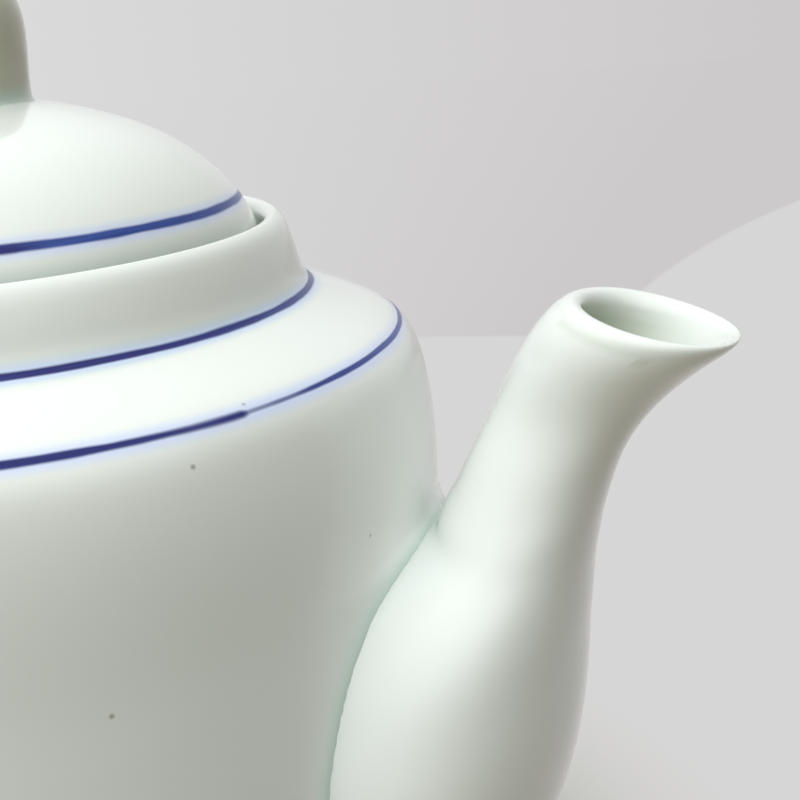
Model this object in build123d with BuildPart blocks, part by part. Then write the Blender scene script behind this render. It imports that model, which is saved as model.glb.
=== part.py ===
"""Ceramic teapot: a barrel pot with a stepped neck, a broad-rooted spout, an ear handle and a loose domed lid.

Millimetres, +Z up. The origin is the centre of the foot on the table, and +X points along the spout.
"""

from build123d import *
import os
from math import cos, radians, sin, sqrt

os.makedirs("parts", exist_ok=True)

# Overall sizes
body_radius = 75.0
shoulder_height = 120.0
half_length = 125.0

# Pot body: heights from the table, or down from the shoulder line where the name says drop
body_wall = 4.0
base_inset = 18.0
low_wall_inset = 3.5
low_wall_height = 25.0
widest_drop = 36.0
wall_top_inset = 1.7
wall_top_drop = 4.2
shoulder_inset = 6.7
shoulder_rise = 1.9
neck_radius = 55.4
neck_rise = 7.5

# Foot ring
foot_inset = 1.0
foot_width = 6.0
foot_height = 5.0
foot_round = 1.2

# Neck collar with the gallery that the lid sits in
collar_rise = 20.6
collar_side_rise = 14.6
collar_side_radius = 53.3
collar_crest_radius = 50.2
gallery_radius = 48.4
ledge_rise = 14.0
mouth_radius = 42.5
collar_inner_round = 1.5

# Lid
lid_gap = 0.4
flange_gap = 0.5
lid_wall = 4.0
lid_rim_rise = 15.0
lid_band_inset = 0.8
lid_band_rise = 18.4
lid_line_radius = 45.1
lid_line_rise = 22.8
lid_side_radius = 38.2
lid_side_rise = 30.3
lid_crown_radius = 25.5
lid_crown_rise = 37.4
lid_top_rise = 40.7
flange_wall = 3.5
flange_depth = 10.0
flange_round = 1.2
vent_diameter = 3.0
vent_reach = 22.0

# Lid knob
knob_radius = 13.1
knob_waist_radius = 12.8
knob_foot_radius = 14.1
knob_foot_edge = 0.6
knob_waist_height = 2.6
knob_side_height = 11.4
knob_seat_margin = 0.6

# Spout
spout_root_drop = 66.0
spout_wall = 3.2
tip_rise = 0.9
mouth_slope = 14.2
lip_outer_round = 0.6
lip_inner_round = 0.4

# Strainer holes through the pot wall behind the spout
strainer_hole = 5.0
strainer_pitch = 9.0
strainer_rings = 2

# Handle
handle_thickness = 11.0
handle_width = 21.0
handle_top_drop = 16.0
handle_top_radius = 24.0
handle_low_radius = 41.0

# Sizes and levels worked out from the sizes above
base_radius = body_radius - base_inset
low_wall_radius = body_radius - low_wall_inset
foot_radius = base_radius - foot_inset
spout_reach = half_length - body_radius
neck_height = shoulder_height + neck_rise
ledge_height = shoulder_height + ledge_rise
crest_height = shoulder_height + collar_rise
flange_radius = mouth_radius - flange_gap
flange_bore = flange_radius - flange_wall
lid_radius = gallery_radius - lid_gap
lid_top_height = shoulder_height + lid_top_rise
spout_root_height = shoulder_height - spout_root_drop


def inset(node, amount):
    """Move an outline node (radius, height, normal in degrees) inwards along its normal."""
    radius, height, normal = node
    return (radius - amount * cos(radians(normal)), height - amount * sin(radians(normal)))


def direction(node):
    """Give the way an outline runs upwards at a node, square to its normal."""
    normal = radians(node[2])
    return (-sin(normal), cos(normal))


def curve_through(nodes, amount=0.0):
    """Draw one smooth curve through outline nodes, moved inwards by an amount."""
    return Spline(*[inset(node, amount) for node in nodes], tangents=[direction(node) for node in nodes])


# Outline of the pot's outer face, as radius, height and the face's normal in degrees above level
body_nodes = [
    (base_radius, foot_height, -90),
    (low_wall_radius, low_wall_height, -9),
    (body_radius, shoulder_height - widest_drop, 0),
    (body_radius - wall_top_inset, shoulder_height - wall_top_drop, 16),
    (body_radius - shoulder_inset, shoulder_height + shoulder_rise, 64),
    (neck_radius, neck_height, 67),
]

# Outline of the lid's outer face, from the rim up to the seat of the knob
knob_seat_radius = knob_foot_radius - knob_seat_margin
dome_nodes = [
    (lid_radius, shoulder_height + lid_rim_rise, 8),
    (lid_radius - lid_band_inset, shoulder_height + lid_band_rise, 24),
    (lid_line_radius, shoulder_height + lid_line_rise, 33),
    (lid_side_radius, shoulder_height + lid_side_rise, 50),
    (lid_crown_radius, shoulder_height + lid_crown_rise, 70),
    (knob_seat_radius, lid_top_height, 81),
]

# The pot's outer shape as one solid, which trims the spout and the handle to its wall
with BuildPart() as pot_shape:
    with BuildSketch(Plane.XZ):
        with BuildLine():
            wall = curve_through(body_nodes)
            Polyline(wall @ 1, (0, neck_height), (0, foot_height), wall @ 0)
        make_face()
    revolve(axis=Axis.Z)

# Pot body, a cast shell with a flat floor and an open mouth
with BuildPart() as pot_body:
    add(pot_shape.part)
    with BuildSketch(Plane.XZ):
        with BuildLine():
            inside = curve_through(body_nodes, body_wall)
            Polyline(
                inside @ 1,
                (mouth_radius, (inside @ 1).Y),
                (mouth_radius, neck_height),
                (0, neck_height),
                (0, foot_height + body_wall),
                inside @ 0,
            )
        make_face()
    revolve(axis=Axis.Z, mode=Mode.SUBTRACT)
    strainer_plane = Plane(origin=(body_radius, 0, spout_root_height), x_dir=(0, 1, 0), z_dir=(-1, 0, 0))
    with BuildSketch(strainer_plane):
        Circle(strainer_hole / 2)
        for ring in range(1, strainer_rings + 1):
            with PolarLocations(ring * strainer_pitch, 6 * ring):
                Circle(strainer_hole / 2)
    extrude(amount=body_radius / 3, mode=Mode.SUBTRACT)
pot_body.part.label = "pot_body"
export_step(pot_body.part, "parts/pot_body.step")

# Foot ring, bare of glaze where it meets the table
with BuildPart() as foot_ring:
    with BuildSketch():
        Circle(foot_radius)
        Circle(foot_radius - foot_width, mode=Mode.SUBTRACT)
    extrude(amount=foot_height)
    fillet(foot_ring.edges().group_by(Axis.Z)[0], foot_round)
foot_ring.part.label = "foot_ring"
export_step(foot_ring.part, "parts/foot_ring.step")

# Neck collar: a thick rounded ring that narrows upwards, with a ledge inside
with BuildPart() as neck_collar:
    with BuildSketch(Plane.XZ):
        with BuildLine():
            side = Line((neck_radius, neck_height), (collar_side_radius, shoulder_height + collar_side_rise))
            crest = TangentArc(side @ 1, (collar_crest_radius, crest_height), tangent=side % 1)
            Polyline(
                crest @ 1,
                (gallery_radius, crest_height),
                (gallery_radius, ledge_height),
                (mouth_radius, ledge_height),
                (mouth_radius, neck_height),
                side @ 0,
            )
        make_face()
    revolve(axis=Axis.Z)
    gallery_rim = neck_collar.edges().filter_by(GeomType.CIRCLE).group_by(Axis.Z)[-1]
    fillet(gallery_rim.sort_by(SortBy.RADIUS)[0], collar_inner_round)
neck_collar.part.label = "neck_collar"
export_step(neck_collar.part, "parts/neck_collar.step")

# Lid dome: a shell with a thick rim that sits on the collar's ledge
with BuildPart() as lid_dome:
    with BuildSketch(Plane.XZ):
        with BuildLine():
            dome = curve_through(dome_nodes)
            Polyline(dome @ 1, (0, lid_top_height), (0, ledge_height), (lid_radius, ledge_height), dome @ 0)
        make_face()
    revolve(axis=Axis.Z)
    with BuildSketch(Plane.XZ):
        with BuildLine():
            hollow = curve_through(dome_nodes[3:], lid_wall)
            Polyline(
                hollow @ 1,
                (0, lid_top_height - lid_wall),
                (0, ledge_height),
                (flange_bore, ledge_height),
                (flange_bore, shoulder_height + lid_band_rise),
                hollow @ 0,
            )
        make_face()
    revolve(axis=Axis.Z, mode=Mode.SUBTRACT)
    with BuildSketch(Plane.XY.offset(lid_top_height)):
        with Locations((-vent_reach, 0)):
            Circle(vent_diameter / 2)
    extrude(amount=-(lid_top_rise - ledge_rise) / 2, mode=Mode.SUBTRACT)
lid_dome.part.label = "lid_dome"
export_step(lid_dome.part, "parts/lid_dome.step")

# Lid flange: the skirt that holds the lid in the mouth
with BuildPart() as lid_flange:
    with BuildSketch(Plane.XY.offset(ledge_height - flange_depth)):
        Circle(flange_radius)
        Circle(flange_bore, mode=Mode.SUBTRACT)
    extrude(amount=flange_depth)
    fillet(lid_flange.edges().group_by(Axis.Z)[0], flange_round)
lid_flange.part.label = "lid_flange"
export_step(lid_flange.part, "parts/lid_flange.step")

# Lid knob: a turned, thimble-shaped knob with a slight waist
with BuildPart() as lid_knob:
    with BuildSketch(Plane.XZ):
        with BuildLine():
            foot_edge = (knob_foot_radius, lid_top_height + knob_foot_edge)
            waist = (knob_waist_radius, lid_top_height + knob_waist_height)
            side_top = (knob_radius, lid_top_height + knob_side_height)
            Polyline((0, lid_top_height), (knob_foot_radius, lid_top_height), foot_edge)
            Spline(foot_edge, waist, side_top, tangents=[(-1, 0.4), (0, 1), (0, 1)])
            RadiusArc(side_top, (0, lid_top_height + knob_side_height + knob_radius), -knob_radius)
            Line((0, lid_top_height + knob_side_height + knob_radius), (0, lid_top_height))
        make_face()
    revolve(axis=Axis.Z)
lid_knob.part.label = "lid_knob"
export_step(lid_knob.part, "parts/lid_knob.step")

# Level sections of the spout from the root up: height above the shoulder line, back and front edge as
# shares of the spout's reach past the widest wall, half width, and the walls at the back and front as
# shares of the spout's wall. The top ones are cut away by the slanted mouth.
spout_levels = [
    (-104.0, -0.5, -0.18, 10.0, 1.0, 1.0),
    (-97.0, -0.5, 0.07, 26.0, 1.0, 1.0),
    (-88.0, -0.5, 0.27, 34.5, 1.0, 1.0),
    (-77.0, -0.5, 0.404, 38.4, 1.0, 1.0),
    (-66.0, -0.5, 0.472, 39.3, 1.0, 1.0),
    (-55.0, -0.49, 0.504, 38.0, 1.0, 1.0),
    (-46.0, -0.45, 0.52, 35.2, 1.0, 1.0),
    (-39.0, -0.34, 0.536, 31.0, 1.0, 1.0),
    (-34.0, -0.14, 0.548, 26.0, 1.0, 1.0),
    (-29.0, 0.016, 0.564, 20.6, 1.0, 1.0),
    (-23.0, 0.096, 0.596, 16.2, 1.0, 1.0),
    (-16.0, 0.168, 0.65, 13.4, 1.0, 1.0),
    (-9.0, 0.242, 0.75, 12.0, 1.1, 0.95),
    (-3.0, 0.304, 0.89, 12.8, 1.3, 0.85),
    (3.0, 0.38, 1.056, 14.3, 1.6, 0.75),
    (10.0, 0.51, 1.24, 16.5, 1.9, 0.75),
]


def draw_oval(back, front, half_width):
    """Draw an oval as four arcs, from its back to its front along X and as wide each side of it."""
    bow = 4 / 3 * (sqrt(2) - 1)  # the handle length of a cubic curve that follows a quarter of an oval
    middle = (front + back) / 2
    corners = [(front - middle, 0), (0, half_width), (back - middle, 0), (0, -half_width)]
    for start, end in zip(corners, corners[1:] + corners[:1]):
        leave = (start[0] + bow * end[0], start[1] + bow * end[1])
        arrive = (end[0] + bow * start[0], end[1] + bow * start[1])
        Bezier(*[(x + middle, y) for x, y in (start, leave, arrive, end)])


# Spout: a hollow horn trimmed to the pot's wall, with its tip at half_length from the axis
tip = (half_length, 0, shoulder_height + tip_rise)
mouth_plane = Plane(origin=tip, z_dir=(sin(radians(mouth_slope)), 0, cos(radians(mouth_slope))))
with BuildPart() as spout:
    for rise, back_share, front_share, half_width, _, _ in spout_levels:
        back, front = body_radius + back_share * spout_reach, body_radius + front_share * spout_reach
        with BuildSketch(Plane.XY.offset(shoulder_height + rise)):
            with BuildLine():
                draw_oval(back, front, half_width)
            make_face()
    loft()
    with BuildPart(mode=Mode.PRIVATE) as channel:
        for rise, back_share, front_share, half_width, back_wall, front_wall in spout_levels:
            back, front = body_radius + back_share * spout_reach, body_radius + front_share * spout_reach
            with BuildSketch(Plane.XY.offset(shoulder_height + rise)):
                with BuildLine():
                    draw_oval(back + back_wall * spout_wall, front - front_wall * spout_wall, half_width - spout_wall)
                make_face()
        loft()
    add(channel.part, mode=Mode.SUBTRACT)
    add(pot_shape.part, mode=Mode.SUBTRACT)
    split(bisect_by=mouth_plane, keep=Keep.BOTTOM)
    lip_face = spout.faces().filter_by(GeomType.PLANE)[0]
    fillet(lip_face.outer_wire().edges(), lip_outer_round)
    lip_face = spout.faces().filter_by(GeomType.PLANE)[0]
    fillet(lip_face.inner_wires()[0].edges(), lip_inner_round)
spout.part.label = "spout"
export_step(spout.part, "parts/spout.step")

# Handle: an ear-shaped strap opposite the spout
handle_reach = half_length - handle_thickness / 2
handle_top_height = shoulder_height - handle_top_drop
handle_turn_height = handle_top_height - handle_top_radius
handle_low_height = handle_turn_height - handle_low_radius
with BuildPart() as handle:
    with BuildLine(Plane.XZ) as handle_path:
        top_bend = (handle_top_radius - handle_reach, handle_top_height)
        outermost = (-handle_reach, handle_turn_height)
        low_bend = (handle_low_radius - handle_reach, handle_low_height)
        Line((-(body_radius - 2 * body_wall), handle_top_height), top_bend)
        RadiusArc(top_bend, outermost, -handle_top_radius)
        RadiusArc(outermost, low_bend, -handle_low_radius)
        Line(low_bend, (-(low_wall_radius - 2 * body_wall), handle_low_height))
    strap_plane = Plane(origin=handle_path.line @ 0, x_dir=(0, 1, 0), z_dir=handle_path.line % 0)
    with BuildSketch(strap_plane):
        Ellipse(handle_width / 2, handle_thickness / 2)
    sweep()
    add(pot_shape.part, mode=Mode.SUBTRACT)
handle.part.label = "handle"
export_step(handle.part, "parts/handle.step")
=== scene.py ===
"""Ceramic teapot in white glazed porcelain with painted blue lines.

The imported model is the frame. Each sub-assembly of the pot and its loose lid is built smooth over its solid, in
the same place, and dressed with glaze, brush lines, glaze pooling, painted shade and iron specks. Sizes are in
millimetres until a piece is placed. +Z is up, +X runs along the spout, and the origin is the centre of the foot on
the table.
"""

from __future__ import annotations

import logging
import math
from dataclasses import dataclass, field
from enum import Enum
from typing import Any, Callable, Sequence

import bmesh
import bpy
import numpy as np
from mathutils import Matrix, Vector
from mathutils.geometry import interpolate_bezier


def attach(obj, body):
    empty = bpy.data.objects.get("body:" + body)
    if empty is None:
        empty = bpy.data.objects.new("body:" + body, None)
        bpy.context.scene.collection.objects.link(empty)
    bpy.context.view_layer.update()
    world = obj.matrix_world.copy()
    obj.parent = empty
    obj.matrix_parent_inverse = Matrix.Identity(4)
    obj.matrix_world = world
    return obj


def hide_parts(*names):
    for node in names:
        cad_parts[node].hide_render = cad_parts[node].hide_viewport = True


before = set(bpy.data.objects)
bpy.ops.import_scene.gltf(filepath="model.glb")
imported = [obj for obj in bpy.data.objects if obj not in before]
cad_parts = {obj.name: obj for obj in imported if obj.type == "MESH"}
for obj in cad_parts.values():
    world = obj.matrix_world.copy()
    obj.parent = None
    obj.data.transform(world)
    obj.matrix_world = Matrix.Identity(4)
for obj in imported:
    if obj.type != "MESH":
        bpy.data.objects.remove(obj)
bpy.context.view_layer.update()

MM = 0.001
FULL_TURN = 2.0 * math.pi
SHOULDER_HEIGHT = 120.0
WIDEST_RADIUS = 75.0
MERGE_GAP = 1e-4
ON_SURFACE = 0.05
ON_HORN = 0.02
PROBE = 0.5
HALVINGS = 40
ROUND_BOW = 0.45
FILL_FADE = 2.5
FILL_ROUNDS = 5

log = logging.getLogger("teapot")

Point = tuple[float, float]
Node = tuple[float, float, float]
Lobe = tuple[Node, float, float]
Shape = bmesh.types.BMesh
Tree = bpy.types.NodeTree
Finish = bpy.types.Material
Piece = bpy.types.Object


class Body(Enum):
    """The frame's bodies that a piece can move with."""

    POT = "pot"
    LID = "lid"


class Slot(Enum):
    """The record's material slots."""

    GLAZE = "white_glaze"
    CLAY = "bare_foot"


@dataclass(frozen=True)
class Tag:
    """What a piece is called, what it moves with and what it stands for."""

    name: str
    node: str
    body: Body
    slot: Slot = Slot.GLAZE


def linear(code: str) -> tuple[float, float, float, float]:
    """Turn an sRGB hex colour to linear light.

    Args:
        code: Six hex digits, with or without a leading hash.

    Returns:
        Red, green, blue and alpha in linear light.
    """
    digits = code.lstrip("#")
    parts = [int(digits[at : at + 2], 16) / 255 for at in (0, 2, 4)]
    light = [part / 12.92 if part <= 0.04045 else ((part + 0.055) / 1.055) ** 2.4 for part in parts]
    return (light[0], light[1], light[2], 1.0)


def add(tree: Tree, kind: str, inputs: Any = (), **settings: Any) -> bpy.types.Node:
    """Add a node with its settings, values and links.

    Args:
        tree: The node tree.
        kind: The node's type without its ShaderNode prefix.
        inputs: Values in the order of the sockets, or by socket name or number. An output socket is linked, and a
            node by its first output. A map range takes the value, from min, from max, to min and to max.
        settings: Properties of the node.

    Returns:
        The node.
    """
    node = tree.nodes.new("ShaderNode" + kind)
    for name, value in settings.items():
        setattr(node, name, value)
    for socket, value in inputs.items() if isinstance(inputs, dict) else enumerate(inputs):
        if isinstance(value, bpy.types.Node):
            value = value.outputs[0]
        if isinstance(value, bpy.types.NodeSocket):
            tree.links.new(value, node.inputs[socket])
        else:
            node.inputs[socket].default_value = value
    return node


def new_material(name: str) -> tuple[Finish, Tree]:
    """Make a material with an empty node tree, and give both."""
    material = bpy.data.materials.new(name)
    material.use_nodes = True
    material.node_tree.nodes.clear()
    return material, material.node_tree


def resample(line: np.ndarray, count: int, passes: int) -> np.ndarray:
    """Space the points of a flat line evenly, then smooth it with its ends held.

    Args:
        line: The line's points.
        count: Points wanted.
        passes: Smoothing passes.

    Returns:
        The even line.
    """
    along = np.concatenate([[0.0], np.cumsum(np.hypot(*np.diff(line, axis=0).T))])
    marks = np.linspace(0.0, along[-1], count)
    even = np.stack([np.interp(marks, along, line[:, axis]) for axis in (0, 1)], axis=1)
    for _ in range(passes):
        even[1:-1] = even[1:-1] / 2 + (even[:-2] + even[2:]) / 4
    return even


def outline(nodes: Sequence[Node], amount: float = 0.0, spacing: float = 1.0, passes: int = 6) -> list[Point]:
    """Draw a smooth, evenly spaced curve through outline nodes.

    Args:
        nodes: Radius, height and normal in degrees above level, in order up the outline.
        amount: How far the curve is moved inwards along the normals.
        spacing: Distance between points.
        passes: Smoothing passes that even out the change of curvature at the nodes.

    Returns:
        Points as radius and height.
    """
    dense: list[Vector] = []
    for low, high in zip(nodes, nodes[1:]):
        ends, ways = [], []
        for radius, height, normal in (low, high):
            angle = math.radians(normal)
            ends.append(Vector((radius - amount * math.cos(angle), height - amount * math.sin(angle), 0.0)))
            ways.append(Vector((-math.sin(angle), math.cos(angle), 0.0)))
        turn = max(abs(math.radians(high[2] - low[2])), 0.01)
        reach = (ends[1] - ends[0]).length * 2 * math.tan(turn / 4) / (3 * math.sin(turn / 2))
        span = interpolate_bezier(ends[0], ends[0] + ways[0] * reach, ends[1] - ways[1] * reach, ends[1], 64)
        dense.extend(span if not dense else span[1:])
    line = np.array([(point.x, point.y) for point in dense])
    length = np.hypot(*np.diff(line, axis=0).T).sum()
    even = resample(line, max(3, round(length / spacing) + 1), passes)
    return [(float(radius), float(height)) for radius, height in even]


def rounded(corner: Point, start: Point, end: Point, size: float, count: int = 5) -> list[Point]:
    """Round one corner of an outline.

    Args:
        corner: The corner.
        start: A point on the side that leads in.
        end: A point on the side that leads out.
        size: How far from the corner the round starts and ends.
        count: Points on the round.

    Returns:
        Points along the round.
    """
    middle = Vector((*corner, 0.0))
    lead, leave = ((Vector((*point, 0.0)) - middle).normalized() * size for point in (start, end))
    curve = interpolate_bezier(
        middle + lead, middle + lead * ROUND_BOW, middle + leave * ROUND_BOW, middle + leave, count
    )
    return [(point.x, point.y) for point in curve]


def square_ring(outer: float, inner: float, bottom: float, top: float, soft: float) -> list[Point]:
    """Draw the section of a plain ring whose two lower corners are rounded.

    Args:
        outer: Outer radius.
        inner: Inner radius.
        bottom: Height of the underside.
        top: Height of the top.
        soft: Size of the rounds.

    Returns:
        Points round the section.
    """
    low_out, low_in, top_out, top_in = (outer, bottom), (inner, bottom), (outer, top), (inner, top)
    return [top_out, *rounded(low_out, top_out, low_in, soft), *rounded(low_in, low_out, top_in, soft), top_in]


def turn_chain(points: Sequence[Point], steps: int, closed: bool) -> Shape:
    """Turn a chain of points round the upright axis.

    Args:
        points: Radius and height of each point.
        steps: Steps in the turn.
        closed: Whether the last point joins the first.

    Returns:
        The turned shape.
    """
    shape = bmesh.new()
    verts = [shape.verts.new((radius, 0.0, height)) for radius, height in points]
    pairs = list(zip(verts, verts[1:])) + ([(verts[-1], verts[0])] if closed else [])
    edges = [shape.edges.new(pair) for pair in pairs]
    bmesh.ops.spin(
        shape, geom=verts + edges, cent=(0, 0, 0), axis=(0, 0, 1), dvec=(0, 0, 0),
        angle=FULL_TURN, steps=steps, use_merge=True, use_duplicate=False,
    )
    bmesh.ops.remove_doubles(shape, verts=shape.verts, dist=MERGE_GAP)
    return shape


def spin_outline(points: Sequence[Point], steps: int, closed: bool = False) -> Shape:
    """Turn an outline into a shape with its faces outwards; an open outline starts and ends on the axis."""
    shape = turn_chain(points, steps, closed)
    bmesh.ops.recalc_face_normals(shape, faces=shape.faces)
    return shape


def spin_tube(rows: int, steps: int, place: Callable[[np.ndarray, np.ndarray], np.ndarray]) -> Shape:
    """Turn a straight chain into a tube and shape it.

    Args:
        rows: Rows of points along the tube.
        steps: Points round the tube.
        place: Gives the points for arrays of row numbers and angles.

    Returns:
        The shaped tube, closed at both ends.
    """
    tube = turn_chain([(1.0, float(row)) for row in range(rows)], steps, False)
    spots = np.array([vert.co[:] for vert in tube.verts])
    angles = np.arctan2(spots[:, 1], spots[:, 0])
    for vert, spot in zip(tube.verts, place(np.rint(spots[:, 2]), angles)):
        vert.co = spot
    bmesh.ops.holes_fill(tube, edges=[edge for edge in tube.edges if edge.is_boundary])
    bmesh.ops.recalc_face_normals(tube, faces=tube.faces)
    return tube


def place_mesh(shape: Shape, name: str) -> Piece:
    """Put a shape into the scene as an object; the shape is freed."""
    mesh = bpy.data.meshes.new(name)
    shape.to_mesh(mesh)
    shape.free()
    placed = bpy.data.objects.new(name, mesh)
    bpy.context.scene.collection.objects.link(placed)
    return placed


def make_piece(shape: Shape, tag: Tag, finish: Finish, sharp: float = 40.0) -> Piece:
    """Turn a shape into a placed piece with its finish.

    Args:
        shape: The shape in millimetres; it is freed.
        tag: What the piece is and what it rides on.
        finish: Its material.
        sharp: Angle in degrees above which an edge stays sharp.

    Returns:
        The piece.
    """
    bmesh.ops.scale(shape, vec=(MM, MM, MM), verts=shape.verts)
    piece = place_mesh(shape, tag.name)
    piece.data.shade_smooth()
    piece.data.set_sharp_from_angle(angle=math.radians(sharp))
    piece.data.materials.append(finish)
    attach(piece, tag.body.value)
    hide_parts(tag.node)
    log.info("%s: %d faces, rides on %s", tag.name, len(piece.data.polygons), tag.body.value)
    return piece


def add_drill(tools: Shape, size: float, depth: float, spot: Matrix) -> None:
    """Add a round drill to the tools that cut holes.

    Args:
        tools: The tools so far.
        size: Diameter of the drill.
        depth: Its length.
        spot: Where its middle is and which way it points.
    """
    bmesh.ops.create_cone(
        tools, cap_ends=True, segments=24, radius1=size / 2, radius2=size / 2, depth=depth, matrix=spot
    )


def cut_away(shape: Shape, tool: Shape) -> Shape:
    """Cut a tool's solid out of a shape.

    Args:
        shape: The shape; it is freed.
        tool: The closed solid to take away; it is freed.

    Returns:
        What is left.
    """
    stock, knife = place_mesh(shape, "cut_shape"), place_mesh(tool, "cut_tool")
    modifier = stock.modifiers.new("cut", "BOOLEAN")
    modifier.operation = "DIFFERENCE"
    modifier.solver = "EXACT"
    modifier.object = knife
    evaluated = stock.evaluated_get(bpy.context.evaluated_depsgraph_get())
    left = bmesh.new()
    left.from_mesh(evaluated.to_mesh())
    evaluated.to_mesh_clear()
    for made in (stock, knife):
        mesh = made.data
        bpy.data.objects.remove(made)
        bpy.data.meshes.remove(mesh)
    return left


def fill_depth(gap: np.ndarray, reach: float, height: float) -> np.ndarray:
    """Say how deep slip and glaze fill the corner beside a luted piece.

    Args:
        gap: Distance of each point from the luted piece, below zero inside it.
        reach: How far from the corner the fill starts.
        height: Depth of the fill in the corner.

    Returns:
        How far each point is raised; past the corner it dies away out of sight.
    """
    beside = height * (1 - np.clip(gap / reach, 0.0, 1.0)) ** 2
    return np.where(gap >= 0, beside, height * np.clip(1 + gap / FILL_FADE, 0.0, 1.0))


def raise_points(shape: Shape, lift: Callable[[np.ndarray], tuple[np.ndarray, np.ndarray]]) -> None:
    """Raise the points of a shape and note at each how deep glaze pooling and painted shade lie.

    Args:
        shape: The shape to change.
        lift: Gives new points and depths of glaze pooling and painted shade, from 0 to 1, for an array of points.
    """
    layer = shape.verts.layers.float.new("pool_and_shade")
    spots = np.array([vert.co[:] for vert in shape.verts])
    moved, pools_and_shade = lift(spots)
    for vert, spot, pool_and_shade in zip(shape.verts, moved, pools_and_shade):
        vert.co = spot
        vert[layer] = float(pool_and_shade)


class LevelCurve:
    """A smooth function of height through given values."""

    def __init__(self, heights: Sequence[float], values: Sequence[float]) -> None:
        """Solve for the second derivatives of a natural cubic.

        Args:
            heights: Heights in rising order.
            values: Value at each height.
        """
        self.heights = np.array(heights, float)
        self.values = np.array(values, float)
        steps = np.diff(self.heights)
        slopes = np.diff(self.values) / steps
        count = len(self.heights)
        table = np.eye(count)
        right = np.zeros(count)
        for row in range(1, count - 1):
            table[row, row - 1 : row + 2] = (steps[row - 1], 2 * (steps[row - 1] + steps[row]), steps[row])
            right[row] = 6 * (slopes[row] - slopes[row - 1])
        self.bends = np.linalg.solve(table, right)

    def __call__(self, height: np.ndarray) -> np.ndarray:
        """Give the value at each height."""
        spot = np.clip(height, self.heights[0], self.heights[-1])
        at = np.clip(np.searchsorted(self.heights, spot) - 1, 0, len(self.heights) - 2)
        step = self.heights[at + 1] - self.heights[at]
        above, below = (self.heights[at + 1] - spot) / step, (spot - self.heights[at]) / step
        curve = (above**3 - above) * self.bends[at] + (below**3 - below) * self.bends[at + 1]
        return above * self.values[at] + below * self.values[at + 1] + curve * step**2 / 6


@dataclass(frozen=True)
class BrushLine:
    """A line painted round the pot with a loaded brush while the wheel turned.

    Colour is dark where the brush was full and washes out towards the overlap, from which it went on thinner. The
    hand dipped a little on the way, so the line sags by a fraction of a millimetre.
    """

    radius: float
    height: float
    width: float
    thin_width: float
    overlap: float
    fade: float
    pale: float
    sag: float
    sag_turn: float
    sag_power: float = 22.0
    lap: float = 0.012
    swelling: Point = (0.82, 1.18)
    edge: Point = (0.62, 1.4)
    streaks: Point = (-0.15, 0.22)
    halo: Node = (0.3, 2.8, 0.65)

    def paint(self, tree: Tree, surface: dict[str, Any]) -> tuple[Any, Any, Any]:
        """Work out where the line's colour and its halo lie.

        Args:
            tree: The node tree.
            surface: Nodes or sockets for radius, height, turn, swell and streak.

        Returns:
            Nodes for the line's cover, its thinness of colour and its halo.
        """
        turn = surface["turn"]
        off = add(tree, "Math", (turn, self.sag_turn), operation="SUBTRACT")
        bow = add(tree, "Math", (off,), operation="COSINE")
        lobe = add(tree, "Math", (bow, 0.0), operation="MAXIMUM")
        dip = add(tree, "Math", (lobe, self.sag_power), operation="POWER")
        level = add(tree, "Math", (dip, self.sag * MM, surface["height"]), operation="MULTIPLY_ADD")
        ring = add(tree, "CombineXYZ", (surface["radius"], level))
        middle = (self.radius * MM, self.height * MM, 0.0)
        gap = add(tree, "VectorMath", (ring, middle), operation="DISTANCE").outputs["Value"]
        start = self.overlap - self.lap
        sides = (self.width / 2 * MM, self.thin_width / 2 * MM)
        past = add(tree, "MapRange", (turn, start, self.overlap + self.lap / 3, *sides))
        swell = add(tree, "MapRange", (surface["swell"], 0.25, 0.75, *self.swelling))
        half = add(tree, "Math", (past, swell), operation="MULTIPLY")
        share = add(tree, "Math", (gap, half), operation="DIVIDE")
        cover = add(tree, "MapRange", (share, *self.edge, 1.0, 0.0), interpolation_type="SMOOTHSTEP")
        thin = add(tree, "MapRange", (turn, start, self.overlap + self.fade, 0.0, self.pale))
        streak = add(tree, "MapRange", (surface["streak"], 0.3, 0.75, *self.streaks))
        tone = add(tree, "Math", (thin, streak), operation="ADD", use_clamp=True)
        near, far, strength = self.halo
        halo = add(tree, "MapRange", (gap, near * MM, far * MM, strength, 0.0), interpolation_type="SMOOTHERSTEP")
        return cover, tone, halo


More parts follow.
